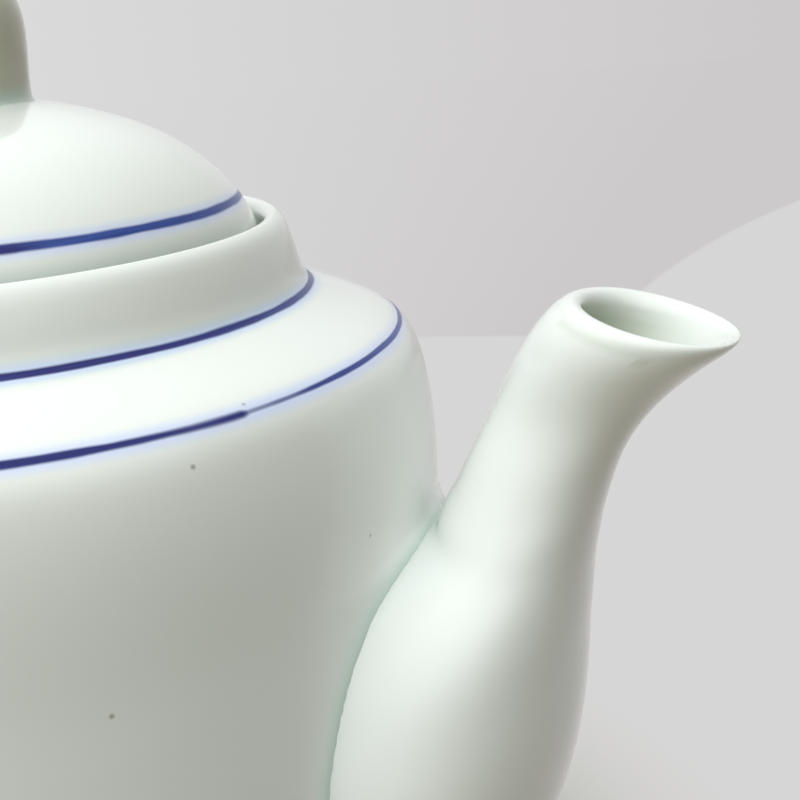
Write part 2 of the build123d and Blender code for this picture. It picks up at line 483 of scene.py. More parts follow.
@dataclass(frozen=True)
class PorcelainGlaze:
    """White porcelain under a clear, faintly green glaze, poured and fired glossy.

    The eye gets a cool white with sharp reflections that waver a little, since glaze settles unevenly, and a
    greener tint where glaze gathers in corners. Where a glaze gives that tint darker, it is painted shade in shaded
    hollows and under rims.
    """

    name: str
    lines: tuple[BrushLine, ...] = ()
    pool_and_shade_rings: tuple[Node, ...] = ()
    white: str = "#eff1ee"
    warm: str = "#ecebe3"
    pooled_and_shaded: str = "#c6dbd0"
    cobalt: str = "#010668"
    washed: str = "#2f4a9a"
    bloom: str = "#c4d0ff"
    iron: str = "#7d6a52"
    speck_spots: tuple[Node, ...] = ()
    speck_size: Point = (0.1, 0.5)
    speck_depth: float = 0.7
    speck_share: float = 0.72
    pool_and_shade_depth: float = 0.75

    def build(self) -> Finish:
        """Make the material."""
        material, tree = new_material(self.name)
        place = add(tree, "TexCoord").outputs["Object"]
        axes = add(tree, "SeparateXYZ", (place,))
        flat = add(tree, "CombineXYZ", (axes.outputs[0], axes.outputs[1]))
        radius = add(tree, "VectorMath", (flat,), operation="LENGTH").outputs["Value"]
        turn = add(tree, "Math", (axes.outputs[1], axes.outputs[0]), operation="ARCTAN2")
        # Hand wobble of about a sixth of a millimetre over a few centimetres
        wobble = add(tree, "TexNoise", {"Vector": place, "Scale": 1 / (24 * MM), "Detail": 1.0})
        sway = add(tree, "MapRange", (wobble, 0.3, 0.7, -0.16 * MM, 0.16 * MM))
        swayed = add(tree, "Math", (axes.outputs[2], sway), operation="ADD")
        still = add(tree, "CombineXYZ", (radius, axes.outputs[2]))
        swell = add(tree, "TexNoise", {"Vector": place, "Scale": 1 / (11 * MM), "Detail": 2.0})
        # Bristle streaks run along the line: long in the turn, half a millimetre across
        lengthwise = add(tree, "Math", (turn, 5.0), operation="MULTIPLY")
        across = add(tree, "Math", (axes.outputs[2], 1 / (0.45 * MM)), operation="MULTIPLY")
        brush = add(tree, "CombineXYZ", (lengthwise, across))
        streak = add(tree, "TexNoise", {"Vector": brush, "Scale": 1.0, "Detail": 3.0}, noise_dimensions="2D")
        surface = {"radius": radius, "height": swayed, "turn": turn, "swell": swell, "streak": streak}

        drift = add(tree, "TexNoise", {"Vector": place, "Scale": 1 / (55 * MM), "Detail": 2.0})
        tint = add(tree, "MapRange", (drift, 0.35, 0.7, 0.0, 0.7))
        colour = self.mix(tree, tint, linear(self.white), linear(self.warm))
        # Glaze pooling in corners, and painted shade where a glaze gives this tint darker: the lid's rim band, the
        # knob's foot and the spout's bore
        pool_and_shade = add(tree, "Attribute", attribute_name="pool_and_shade", attribute_type="GEOMETRY").outputs["Fac"]
        for ring_radius, ring_height, reach in self.pool_and_shade_rings:
            middle = (ring_radius * MM, ring_height * MM, 0.0)
            gap = add(tree, "VectorMath", (still, middle), operation="DISTANCE").outputs["Value"]
            near = add(tree, "MapRange", (gap, 0.0, reach * MM, 1.0, 0.0), interpolation_type="SMOOTHSTEP")
            pool_and_shade = add(tree, "Math", (pool_and_shade, near), operation="MAXIMUM")
        depth = add(tree, "Math", (pool_and_shade, self.pool_and_shade_depth), operation="MULTIPLY", use_clamp=True)
        colour = self.mix(tree, depth, colour, linear(self.pooled_and_shaded))
        colour = self.speckle(tree, place, colour)
        shine: Any = 1.0
        for line in self.lines:
            cover, tone, halo = line.paint(tree, surface)
            # The stain is drunk up by the body, so the glaze over it looks deeper and reflects less
            dull = add(tree, "MapRange", (cover, 0.0, 1.0, 1.0, 0.25))
            shine = add(tree, "Math", (dull, shine), operation="MULTIPLY")
            colour = self.mix(tree, halo, colour, linear(self.bloom))
            paint = self.mix(tree, tone, linear(self.cobalt), linear(self.washed))
            colour = self.mix(tree, cover, colour, paint)

        # Glaze settles in waves a few centimetres long, over a fine skin of ripples of about 1.6 mm
        waves = add(tree, "TexNoise", {"Vector": place, "Scale": 1 / (26 * MM), "Detail": 1.5})
        skin = add(tree, "TexNoise", {"Vector": place, "Scale": 1 / (1.6 * MM), "Detail": 1.0})
        fine = add(tree, "Bump", {"Height": skin, "Strength": 1.0, "Distance": 0.0012 * MM})
        broad = add(tree, "Bump", {"Height": waves, "Strength": 1.0, "Distance": 0.22 * MM, "Normal": fine})
        shader = add(tree, "BsdfPrincipled", {
            "Base Color": colour, "Roughness": 0.3, "IOR": 1.5, "Specular IOR Level": 0.12, "Normal": broad,
            "Coat Weight": shine, "Coat Roughness": 0.06, "Coat IOR": 1.5, "Coat Normal": broad,
        })
        add(tree, "OutputMaterial", (shader,))
        return material

    @staticmethod
    def mix(tree: Tree, share: Any, first: Any, second: Any) -> bpy.types.NodeSocket:
        """Mix two colours.

        Args:
            tree: The node tree.
            share: Share of the second colour.
            first: First colour or its socket.
            second: Second colour or its socket.

        Returns:
            The mixed colour's socket.
        """
        return add(tree, "Mix", {0: share, 6: first, 7: second}, data_type="RGBA").outputs[2]

    def speckle(self, tree: Tree, place: Any, colour: Any) -> bpy.types.NodeSocket:
        """Add rare iron specks in the body under the glaze.

        Args:
            tree: The node tree.
            place: Object coordinates.
            colour: The colour so far.

        Returns:
            The colour with specks.
        """
        cells = add(tree, "TexVoronoi", {"Vector": place, "Scale": 1 / (15 * MM)})
        dot = add(tree, "MapRange", (cells, 0.008, 0.03, self.speck_depth, 0.0))
        hue = add(tree, "SeparateColor", (cells.outputs["Color"],))
        rare = add(tree, "Math", (hue, self.speck_share), operation="GREATER_THAN")
        speck = add(tree, "Math", (dot, rare), operation="MULTIPLY")
        core, rim = self.speck_size
        for spot in self.speck_spots:
            middle = tuple(value * MM for value in spot)
            gap = add(tree, "VectorMath", (place, middle), operation="DISTANCE").outputs["Value"]
            near = add(tree, "MapRange", (gap, core * MM, rim * MM, self.speck_depth, 0.0))
            speck = add(tree, "Math", (speck, near), operation="MAXIMUM")
        return self.mix(tree, speck, colour, linear(self.iron))


@dataclass(frozen=True)
class BareClay:
    """Unglazed porcelain biscuit, wiped clean of glaze so that it doesn't stick in the kiln.

    The eye gets a matt, warm grey-white with fine grit and scuffs from tables.
    """

    name: str = "bare_biscuit"
    clay: str = "#cfc6b4"
    scuff: str = "#9d9280"

    def build(self) -> Finish:
        """Make the material."""
        material, tree = new_material(self.name)
        place = add(tree, "TexCoord").outputs["Object"]
        # Scuffs of a few millimetres over grit of half a millimetre
        wear = add(tree, "TexNoise", {"Vector": place, "Scale": 1 / (6 * MM), "Detail": 5.0})
        grit = add(tree, "TexNoise", {"Vector": place, "Scale": 1 / (0.5 * MM), "Detail": 2.0})
        share = add(tree, "MapRange", (wear, 0.5, 0.75, 0.0, 0.6))
        colour = PorcelainGlaze.mix(tree, share, linear(self.clay), linear(self.scuff))
        bump = add(tree, "Bump", {"Height": grit, "Strength": 0.6, "Distance": 0.06 * MM})
        shader = add(tree, "BsdfPrincipled", {"Base Color": colour, "Roughness": 0.85, "IOR": 1.5, "Normal": bump})
        add(tree, "OutputMaterial", (shader,))
        return material


@dataclass
class Barrel:
    """The cast barrel shell with its floor, shoulder, mouth and strainer holes."""

    tag: Tag = Tag("barrel_shell", "pot_body", Body.POT)
    nodes: tuple[Node, ...] = (
        (57.0, 5.0, -90.0), (71.5, 25.0, -9.0), (75.0, 84.0, 0.0),
        (73.3, 115.8, 16.0), (68.3, 121.9, 64.0), (55.4, 127.5, 67.0),
    )
    wall: float = 4.0
    mouth: float = 42.5
    floor_top: float = 9.0
    hole: float = 5.0
    pitch: float = 9.0
    hole_rings: int = 2
    hole_height: float = 54.0
    drill_depth: float = 30.0
    drill_middle: float = 70.0
    steps: int = 460
    core_steps: int = 180
    crowd: float = 0.55
    pool_and_shade_depth: float = 0.9
    curve: np.ndarray = field(init=False)
    lean: np.ndarray = field(init=False)

    def __post_init__(self) -> None:
        """Draw the outer outline once and keep its slopes."""
        self.curve = np.array(outline(self.nodes, spacing=0.9))
        way = np.gradient(self.curve, axis=0)
        self.lean = np.arctan2(-way[:, 0], way[:, 1])

    def distance(self, spots: np.ndarray) -> np.ndarray:
        """Give how far points are outside the wall, to first order."""
        radius = np.hypot(spots[:, 0], spots[:, 1])
        tall = np.interp(spots[:, 2], self.curve[:, 1], self.curve[:, 0])
        lean = np.interp(spots[:, 2], self.curve[:, 1], self.lean)
        return (radius - tall) * np.cos(lean)

    def normals(self, spots: np.ndarray) -> np.ndarray:
        """Give the outward normals of the wall at points on it."""
        radius = np.maximum(np.hypot(spots[:, 0], spots[:, 1]), 1e-6)
        lean = np.interp(spots[:, 2], self.curve[:, 1], self.lean)
        level = np.cos(lean) / radius
        return np.stack([spots[:, 0] * level, spots[:, 1] * level, np.sin(lean)], axis=1)

    def core(self) -> Shape:
        """Give the solid inside the middle of the wall, which trims spout and handle."""
        points = outline(self.nodes, self.wall / 2, 2.0)
        return spin_outline([(0.0, points[0][1]), *points, (0.0, points[-1][1])], self.core_steps)

    def build(self, finish: Finish, neighbours: Sequence[Any]) -> Piece:
        """Build the shell.

        Args:
            finish: Its glaze.
            neighbours: Luted pieces whose joints get filled.

        Returns:
            The piece.
        """
        outer = [tuple(point) for point in self.curve]
        inner = outline(self.nodes, self.wall, 4.0)
        inner = [point for point in inner if point[0] > self.mouth or point[1] < SHOULDER_HEIGHT][::-1]
        rim = [(self.mouth, outer[-1][1]), (self.mouth, inner[0][1])]
        floor = [(inner[-1][0], self.floor_top), (0.0, self.floor_top)]
        shape = spin_outline([(0.0, outer[0][1]), *outer, *rim, *inner, *floor], self.steps)
        # Crowd the steps towards spout and handle, where the joints need them
        for vert in shape.verts:
            angle = math.atan2(vert.co.y, vert.co.x)
            shift = -self.crowd * math.sin(2 * angle) / 2
            vert.co = Matrix.Rotation(shift, 3, "Z") @ vert.co

        def lift(spots: np.ndarray) -> tuple[np.ndarray, np.ndarray]:
            on_wall = np.abs(self.distance(spots)) < ON_SURFACE
            normals = self.normals(spots)
            rise = np.zeros(len(spots))
            for neighbour in neighbours:
                depth = np.zeros(len(spots))
                for _ in range(FILL_ROUNDS):
                    gap = neighbour.distance(spots + normals * depth[:, None])
                    depth = (depth + fill_depth(gap, neighbour.fill_reach, neighbour.fill_height)) / 2
                rise = np.maximum(rise, depth)
            rise = np.where(on_wall, rise, 0.0)
            return spots + normals * rise[:, None], np.clip(rise / self.pool_and_shade_depth, 0.0, 1.0)

        raise_points(shape, lift)
        return make_piece(cut_away(shape, self.hole_tools()), self.tag, finish)

    def hole_tools(self) -> Shape:
        """Make the drills for the strainer holes: one in the middle and six more in each ring round it."""
        drills = bmesh.new()
        level = Matrix.Rotation(math.pi / 2, 4, "Y")
        for ring in range(self.hole_rings + 1):
            count = max(1, 6 * ring)
            for at in range(count):
                angle = FULL_TURN * at / count
                side, rise = ring * self.pitch * math.cos(angle), ring * self.pitch * math.sin(angle)
                spot = Matrix.Translation((self.drill_middle, side, self.hole_height + rise)) @ level
                add_drill(drills, self.hole, self.drill_depth, spot)
        return drills


@dataclass
class FootRing:
    """The foot that the pot stands on, bare of glaze."""

    tag: Tag = Tag("foot_rim", "foot_ring", Body.POT, Slot.CLAY)
    radius: float = 56.0
    width: float = 6.0
    height: float = 5.0
    soft: float = 1.4
    steps: int = 240
    sharp: float = 60.0

    def build(self, finish: Finish) -> Piece:
        """Build the ring in its clay."""
        points = square_ring(self.radius, self.radius - self.width, 0.0, self.height, self.soft)
        return make_piece(spin_outline(points, self.steps, True), self.tag, finish, self.sharp)


@dataclass
class Collar:
    """The thick stepped collar with the gallery that the lid sits in."""

    tag: Tag = Tag("neck_gallery", "neck_collar", Body.POT)
    nodes: tuple[Node, ...] = (
        (56.6, 126.95, 62.0), (54.9, 128.4, 26.0), (54.0, 131.0, 11.0), (53.1, 134.9, 17.0),
        (52.3, 137.2, 30.0), (51.4, 138.6, 54.0), (50.5, 139.1, 88.0),
    )
    gallery: float = 48.3
    ledge: float = 134.0
    mouth: float = 42.5
    base: float = 127.5
    inner_round: float = 2.1
    corner_round: float = 0.35
    ledge_round: float = 1.6
    sunk: Point = (1.5, 0.8)
    steps: int = 400
    warp: float = 0.6
    warp_turn: float = -1.0

    def build(self, finish: Finish) -> Piece:
        """Build the collar in its glaze."""
        outer = outline(self.nodes, spacing=0.4, passes=10)
        top = outer[-1][1]
        crest, inside = (self.gallery, top), (self.gallery, self.ledge)
        ledge_edge, bottom = (self.mouth, self.ledge), (self.mouth, self.base)
        points = [
            *outer,
            *rounded(crest, outer[-1], inside, self.inner_round, 9),
            *rounded(inside, crest, ledge_edge, self.corner_round, 4),
            *rounded(ledge_edge, inside, bottom, self.ledge_round),
            bottom,
            (outer[0][0] - self.sunk[0], self.base - self.sunk[1]),
        ]
        ring = spin_outline(points, self.steps, True)
        # The collar warped a little in the kiln: its crest rises by twice the warp from front right to back left
        for vert in ring.verts:
            rise = min(max((vert.co.z - self.ledge) / (top - self.ledge), 0.0), 1.0)
            vert.co.z += self.warp * rise * (1 - math.cos(math.atan2(vert.co.y, vert.co.x) - self.warp_turn))
        return make_piece(ring, self.tag, finish)


class Luted:
    """What spout and handle share: a tube that is shaped, trimmed and luted to the barrel."""

    tag: Tag
    rows: int
    steps: int

    def build(self, finish: Finish, barrel: Barrel) -> Piece:
        """Build the piece.

        Args:
            finish: Its glaze.
            barrel: The shell it is luted to.

        Returns:
            The piece.
        """
        shape = spin_tube(self.rows, self.steps, self.place)
        raise_points(shape, lambda spots: (spots, self.pools_and_shade(spots, barrel)))
        return make_piece(cut_away(shape, barrel.core()), self.tag, finish)


@dataclass
class Spout(Luted):
    """The hollow horn with a broad root, a narrow neck and a rounded lip cut on a slant.

    Each level section has its height over the shoulder, its back, core and front beyond the widest radius, and its
    half width. The lip's drops say how far under the mouth's plane its round starts: at the tip, and more at the
    back and at the sides. Its fullness says how far the round's handles reach, and how much that changes at the
    back, outside and in the bore.
    """

    tag: Tag = Tag("spout_horn", "spout", Body.POT)
    levels: tuple[tuple[float, float, float, float, float], ...] = (
        (-104.0, -25.0, -25.0, -9.0, 10.0), (-97.0, -27.0, -25.0, 3.6, 25.5), (-88.0, -30.0, -25.0, 13.6, 33.8),
        (-77.0, -30.0, -25.0, 20.3, 37.2), (-66.0, -30.0, -24.8, 23.7, 37.9), (-56.0, -30.0, -23.2, 25.2, 36.7),
        (-50.0, -30.0, -20.8, 25.7, 35.0), (-45.0, -30.0, -17.4, 26.1, 33.0), (-40.5, -29.5, -12.9, 26.6, 30.4),
        (-36.5, -24.0, -7.9, 27.0, 27.4), (-33.0, -10.5, -3.4, 27.5, 24.4), (-30.4, -0.4, -0.4, 28.0, 22.3),
        (-27.0, 2.8, 2.8, 28.7, 20.2), (-22.5, 5.1, 5.1, 30.0, 17.8), (-16.0, 8.4, 8.4, 32.5, 15.2),
        (-9.0, 12.1, 12.1, 37.5, 13.6), (-3.0, 15.2, 15.2, 44.5, 14.8), (3.0, 19.0, 19.0, 53.5, 17.0),
        (10.0, 25.5, 25.5, 63.0, 19.2),
    )
    tip: Point = (125.9, 120.9)
    mouth_slope: float = 14.2
    wall: float = 3.2
    back_wall: float = 5.4
    side_wall: float = 5.5
    tip_wall: float = 2.3
    thicken: Point = (100.0, 118.0)
    outer_drops: Node = (2.3, 3.4, 2.7)
    inner_drops: Node = (1.1, 1.1, 0.8)
    fullness: Node = (1.2, 0.3, -0.25)
    mouth_range: Point = (90.0, 130.0)
    # Painted shade in the bore starts this far under the mouth's plane and reaches full depth over the next span;
    # bore_back is how far back it deepens
    bore_shade: Point = (0.5, 4.0)
    bore_back: float = 30.0
    pool_reach: float = 1.6
    pool_and_shade_depth: float = 0.2
    fill_reach: float = 4.5
    fill_height: float = 1.1
    outer_rows: int = 170
    lip_rows: int = 14
    inner_rows: int = 60
    rows: int = 245
    steps: int = 200
    back: LevelCurve = field(init=False)
    core: LevelCurve = field(init=False)
    front: LevelCurve = field(init=False)
    half: LevelCurve = field(init=False)

    def __post_init__(self) -> None:
        """Draw the smooth edges through the level sections; each joins two half ovals at its widest."""
        heights, backs, cores, fronts, halves = zip(*self.levels)
        heights = [SHOULDER_HEIGHT + height for height in heights]
        self.back = LevelCurve(heights, [WIDEST_RADIUS + value for value in backs])
        self.core = LevelCurve(heights, [WIDEST_RADIUS + value for value in cores])
        self.front = LevelCurve(heights, [WIDEST_RADIUS + value for value in fronts])
        self.half = LevelCurve(heights, halves)

    def surface(self, height: np.ndarray, angle: np.ndarray, inside: bool) -> np.ndarray:
        """Give points of the outer wall or of the bore.

        Args:
            height: Height of each point.
            angle: Angle round the section, 0 at the front.
            inside: Whether the bore is meant.

        Returns:
            The points.
        """
        back, core, front, half = self.back(height), self.core(height), self.front(height), self.half(height)
        if inside:
            low, high = self.thicken
            near = np.clip((height - low) / (high - low), 0.0, 1.0)
            near = near * near * (3 - 2 * near)
            rear = self.wall + (self.back_wall - self.wall) * near
            back, core = back + rear, core + rear
            front = front - self.wall - (self.tip_wall - self.wall) * near
            half = half - self.wall - (self.side_wall - self.wall) * near
        middle = (front + core) / 2
        length = np.where(np.cos(angle) > 0, front - middle, middle - back)
        return np.stack([middle + length * np.cos(angle), half * np.sin(angle), height], axis=1)

    def mouth_height(self, angle: np.ndarray, drop: np.ndarray, inside: bool) -> np.ndarray:
        """Find the height at which each line up the horn comes within a drop of the mouth's plane.

        Args:
            angle: Angle round the section.
            drop: Distance under the mouth's plane.
            inside: Whether the bore is meant.

        Returns:
            The heights.
        """
        low, high = (np.full(len(angle), height) for height in self.mouth_range)
        for _ in range(HALVINGS):
            middle = (low + high) / 2
            past = self.over(self.surface(middle, angle, inside)) + drop > 0
            low, high = np.where(past, low, middle), np.where(past, middle, high)
        return (low + high) / 2

    def over(self, spots: np.ndarray) -> np.ndarray:
        """Give how far points are over the mouth's plane."""
        slope = math.radians(self.mouth_slope)
        return (spots[:, 0] - self.tip[0]) * math.sin(slope) + (spots[:, 2] - self.tip[1]) * math.cos(slope)

    def place(self, rows: np.ndarray, angles: np.ndarray) -> np.ndarray:
        """Place the points of the horn, row by row: up the outside, over the lip and down the bore."""
        behind = (1 - np.cos(angles)) / 2
        beside = np.sin(angles) ** 2
        slope = math.radians(self.mouth_slope)
        reach, outer_full, inner_full = self.fullness
        ends = []
        for drops, inside, full in ((self.outer_drops, False, outer_full), (self.inner_drops, True, inner_full)):
            drop = drops[0] + drops[1] * behind + drops[2] * beside
            top = self.mouth_height(angles, drop, inside)
            spot = self.surface(top, angles, inside)
            way = spot - self.surface(top - PROBE, angles, inside)
            climb = way[:, 0] * math.sin(slope) + way[:, 2] * math.cos(slope)
            ends.append((top, spot, spot + way * ((reach + full * behind) * drop / climb)[:, None]))
        (outer_top, foot, rise), (inner_top, head, fall) = ends
        start = SHOULDER_HEIGHT + self.levels[0][0]
        up = np.clip(rows / self.outer_rows, 0.0, 1.0)
        outer = self.surface(start + (outer_top - start) * up, angles, False)
        lip_end = self.outer_rows + self.lip_rows
        down = np.clip((rows - lip_end) / self.inner_rows, 0.0, 1.0)
        inner = self.surface(inner_top + (start + self.wall - inner_top) * down, angles, True)
        share = np.clip((rows - self.outer_rows) / self.lip_rows, 0.0, 1.0)[:, None]
        rest = 1 - share
        lip = rest**3 * foot + 3 * rest**2 * share * rise + 3 * rest * share**2 * fall + share**3 * head
        inner_or_lip = np.where((rows >= lip_end)[:, None], inner, lip)
        return np.where((rows <= self.outer_rows)[:, None], outer, inner_or_lip)

    def distance(self, spots: np.ndarray) -> np.ndarray:
        """Give how far points are outside the horn, to first order."""
        return self.reading(spots) / np.maximum(np.linalg.norm(self.slopes(spots), axis=1), 1e-6)

    def reading(self, spots: np.ndarray) -> np.ndarray:
        """Give a value that is 0 on the horn, below 0 inside and above 0 outside."""
        back, core, front, half = (curve(spots[:, 2]) for curve in (self.back, self.core, self.front, self.half))
        past = spots[:, 0] - (front + core) / 2
        along = past / np.where(past > 0, (front - core) / 2, (front + core) / 2 - back)
        return np.hypot(along, spots[:, 1] / half) - 1

    def slopes(self, spots: np.ndarray) -> np.ndarray:
        """Give the way in which the reading grows fastest."""
        step = 0.05
        moves = np.eye(3) * step
        rises = [self.reading(spots + move) - self.reading(spots - move) for move in moves]
        return np.stack(rises, axis=1) / (2 * step)

    def pools_and_shade(self, spots: np.ndarray, barrel: Barrel) -> np.ndarray:
        """Give the tint at points: a little glaze pooling at the joint, and painted shade in the bore, deeper under
        the mouth and towards the back.
        """
        start, reach = self.bore_shade
        rearward = np.clip((self.tip[0] - spots[:, 0]) / self.bore_back, 0.0, 1.0)
        # Painted shade deep in the bore: darker further under the mouth and towards the back
        bore = np.clip((-self.over(spots) - start) / reach, 0.0, 1.0) * rearward
        near = np.clip(1 - np.abs(barrel.distance(spots)) / self.pool_reach, 0.0, 1.0)
        return np.where(np.abs(self.reading(spots)) < ON_HORN, near * self.pool_and_shade_depth, bore)


@dataclass
class Handle(Luted):
    """The ear-shaped strap opposite the spout."""

    tag: Tag = Tag("handle_strap", "handle", Body.POT)
    thickness: float = 11.0
    width: float = 21.0
    reach: float = 119.5
    top: float = 104.0
    top_bend: float = 24.0
    low_bend: float = 41.0
    root: float = 64.0
    pool_reach: float = 2.5
    pool_and_shade_depth: float = 0.5
    fill_reach: float = 5.0
    fill_height: float = 1.8
    bend_rows: int = 32
    passes: int = 30
    rows: int = 150
    steps: int = 72
    line: np.ndarray = field(init=False)

    def __post_init__(self) -> None:
        """Draw the strap's middle line from the upper root to the lower one."""
        turn = self.top - self.top_bend
        points = [(-self.root, self.top)]
        for radius, start in ((self.top_bend, 90.0), (self.low_bend, 180.0)):
            for at in range(self.bend_rows + 1):
                angle = math.radians(start + 90.0 * at / self.bend_rows)
                points.append((radius - self.reach + radius * math.cos(angle), turn + radius * math.sin(angle)))
        points.append((-self.root, turn - self.low_bend))
        self.line = resample(np.array(points), self.rows, self.passes)

    def place(self, rows: np.ndarray, angles: np.ndarray) -> np.ndarray:
        """Place the strap's points: a flattened oval carried along the middle line."""
        way = np.gradient(self.line, axis=0)
        way /= np.linalg.norm(way, axis=1)[:, None]
        at = rows.astype(int)
        out = np.stack([way[:, 1], -way[:, 0]], axis=1)[at]
        deep = self.thickness / 2 * np.cos(angles)
        x, z = (self.line[at] + out * deep[:, None]).T
        return np.stack([x, self.width / 2 * np.sin(angles), z], axis=1)

    def distance(self, spots: np.ndarray) -> np.ndarray:
        """Give how far points are outside the strap's two straight roots, to first order."""
        gaps = []
        for level in (self.top, self.top - self.top_bend - self.low_bend):
            across, tall = spots[:, 1] / (self.width / 2), (spots[:, 2] - level) / (self.thickness / 2)
            size = np.maximum(np.hypot(across, tall), 1e-6)
            steep = np.hypot(across / (self.width / 2), tall / (self.thickness / 2)) / size
            gaps.append((size - 1) / np.maximum(steep, 1e-6))
        return np.where(spots[:, 0] < 0, np.minimum(*gaps), 1e3)

    def pools_and_shade(self, spots: np.ndarray, barrel: Barrel) -> np.ndarray:
        """Give how much glaze gathers at points: some at the joints."""
        return np.clip(1 - np.abs(barrel.distance(spots)) / self.pool_reach, 0.0, 1.0) * self.pool_and_shade_depth


@dataclass
class Lid:
    """The loose lid: a domed shell with a thick rim, a locating skirt and a turned knob."""

    dome_tag: Tag = Tag("lid_shell", "lid_dome", Body.LID)
    skirt_tag: Tag = Tag("lid_skirt", "lid_flange", Body.LID)
    knob_tag: Tag = Tag("lid_grip", "lid_knob", Body.LID)
    nodes: tuple[Node, ...] = (
        (48.0, 135.0, 8.0), (47.2, 138.4, 24.0), (45.1, 142.8, 33.0),
        (38.2, 150.3, 50.0), (25.5, 157.4, 70.0), (13.5, 160.7, 81.0),
    )
    wall: float = 4.0
    seat: float = 134.0
    bore: float = 38.5
    vent: float = 3.0
    vent_reach: float = 22.0
    skirt_outer: float = 42.0
    skirt_bottom: float = 124.0
    knob_base: float = 160.7
    knob_nodes: tuple[Node, ...] = (
        (13.6, 160.3, 50.0), (12.9, 160.9, 20.0), (12.8, 162.2, 0.0),
        (13.3, 172.0, 0.0), (11.5, 179.2, 31.0), (0.02, 185.2, 90.0),
    )
    rim_soft: float = 0.6
    skirt_soft: float = 1.3
    hollow_step: float = 1.6
    vent_depth: float = 14.0
    knob_sunk: Point = (1.0, 1.5)
    dome_steps: int = 360
    skirt_steps: int = 300
    knob_steps: int = 160

    def build_dome(self, finish: Finish) -> Piece:
        """Build the domed shell in its glaze."""
        outer = outline(self.nodes, spacing=0.8, passes=10)
        hollow = outline(self.nodes[3:], self.wall, 1.5)
        side, low, step = outer[0], (outer[0][0], self.seat), (self.bore, self.seat)
        points = [
            (0.0, self.knob_base), *outer[::-1],
            *rounded(low, side, step, self.rim_soft), step,
            (self.bore, hollow[0][1] - self.hollow_step), *hollow, (0.0, self.knob_base - self.wall),
        ]
        drill = bmesh.new()
        spot = Matrix.Translation((-self.vent_reach, 0.0, self.knob_base - self.wall))
        add_drill(drill, self.vent, self.vent_depth, spot)
        return make_piece(cut_away(spin_outline(points, self.dome_steps), drill), self.dome_tag, finish)

    def build_skirt(self, finish: Finish) -> Piece:
        """Build the locating skirt in its glaze."""
        points = square_ring(self.skirt_outer, self.bore, self.skirt_bottom, self.seat, self.skirt_soft)
        return make_piece(spin_outline(points, self.skirt_steps, True), self.skirt_tag, finish)

    def build_knob(self, finish: Finish) -> Piece:
        """Build the turned knob in its glaze."""
        outer = outline(self.knob_nodes, spacing=0.4, passes=8)
        base = self.knob_base - self.knob_sunk[1]
        points = [(0.0, base), (outer[0][0] - self.knob_sunk[0], base), *outer[:-1], (0.0, outer[-1][1])]
        return make_piece(spin_outline(points, self.knob_steps), self.knob_tag, finish)


